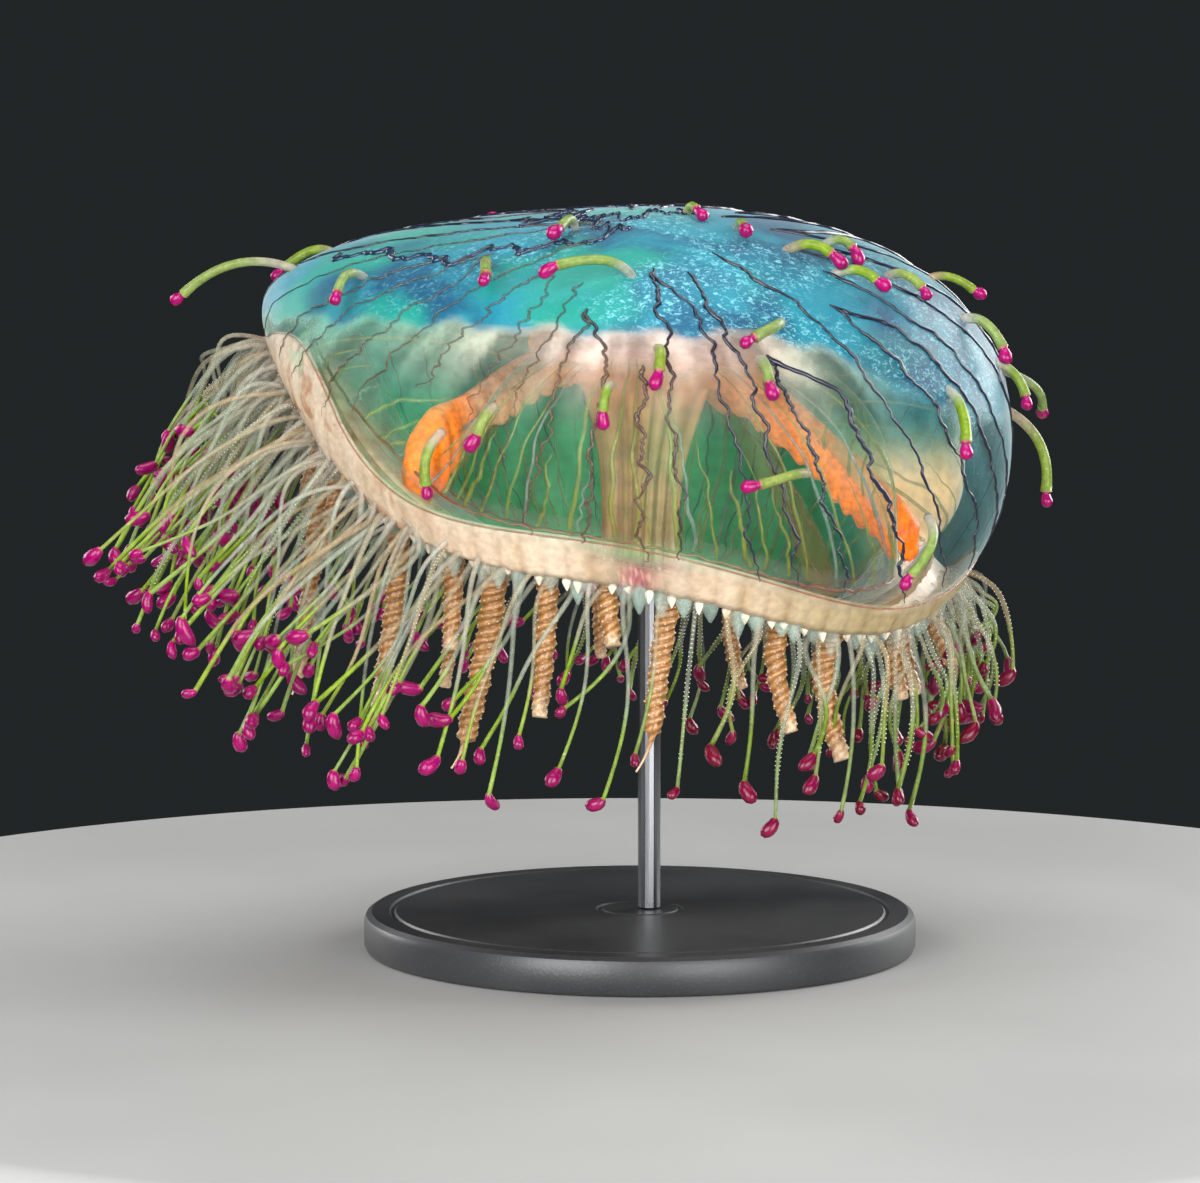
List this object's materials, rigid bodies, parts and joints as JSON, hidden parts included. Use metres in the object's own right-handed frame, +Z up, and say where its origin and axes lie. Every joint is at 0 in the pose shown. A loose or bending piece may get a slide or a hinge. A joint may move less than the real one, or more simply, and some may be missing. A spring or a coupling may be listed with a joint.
{
  "type": "flower hat jellyfish model",
  "caption": "Still, life-size jellyfish with a domed clear bell, frilled mouth, ribbon gonads, bulb-tipped fine tentacles and thick ones, held up by a rod on a flat round base.",
  "frame": {"origin": "centre of the underside of the stand's round base", "axes": "+Z up, +X towards the low side of the tilted bell, -Y towards its near side in the picture"},
  "size_m": [0.1488, 0.1257, 0.118],
  "materials": {
    "umbrella": "clear wet jelly, blue and mottled on the crown",
    "margin": "cream, softly glossy ring with translucent fine tentacles and magenta tips",
    "manubrium": "peach, translucent, wet",
    "gonad": "orange, soft and folded",
    "primary_tentacle": "tan with cream beaded rings",
    "stand_base": "satin dark grey",
    "stand_rod": "brushed"
  },
  "bodies": {
    "root": {"gonad_1": "gonad", "gonad_2": "gonad", "gonad_3": "gonad", "gonad_4": "gonad", "manubrium_mouth": "manubrium", "manubrium_stomach": "manubrium", "margin_1": "margin", "margin_2": "margin", "margin_3": "margin", "margin_4": "margin", "margin_5": "margin", "margin_6": "margin", "margin_7": "margin", "margin_8": "margin", "primary_1": "primary_tentacle", "primary_10": "primary_tentacle", "primary_11_lower": "primary_tentacle", "primary_11_upper": "primary_tentacle", "primary_12": "primary_tentacle", "primary_13": "primary_tentacle", "primary_14_lower": "primary_tentacle", "primary_14_upper": "primary_tentacle", "primary_15": "primary_tentacle", "primary_16": "primary_tentacle", "primary_17": "primary_tentacle", "primary_18": "primary_tentacle", "primary_2": "primary_tentacle", "primary_3": "primary_tentacle", "primary_4": "primary_tentacle", "primary_5_lower": "primary_tentacle", "primary_5_upper": "primary_tentacle", "primary_6": "primary_tentacle", "primary_7_lower": "primary_tentacle", "primary_7_upper": "primary_tentacle", "primary_8": "primary_tentacle", "primary_9_lower": "primary_tentacle", "primary_9_upper": "primary_tentacle", "stand_base": "stand_base", "stand_rod": "stand_rod", "umbrella_crown": "umbrella", "umbrella_wall_1": "umbrella", "umbrella_wall_2": "umbrella", "umbrella_wall_3": "umbrella", "umbrella_wall_4": "umbrella", "umbrella_wall_5": "umbrella", "umbrella_wall_6": "umbrella", "umbrella_wall_7": "umbrella", "umbrella_wall_8": "umbrella"}
  },
  "joints": []
}
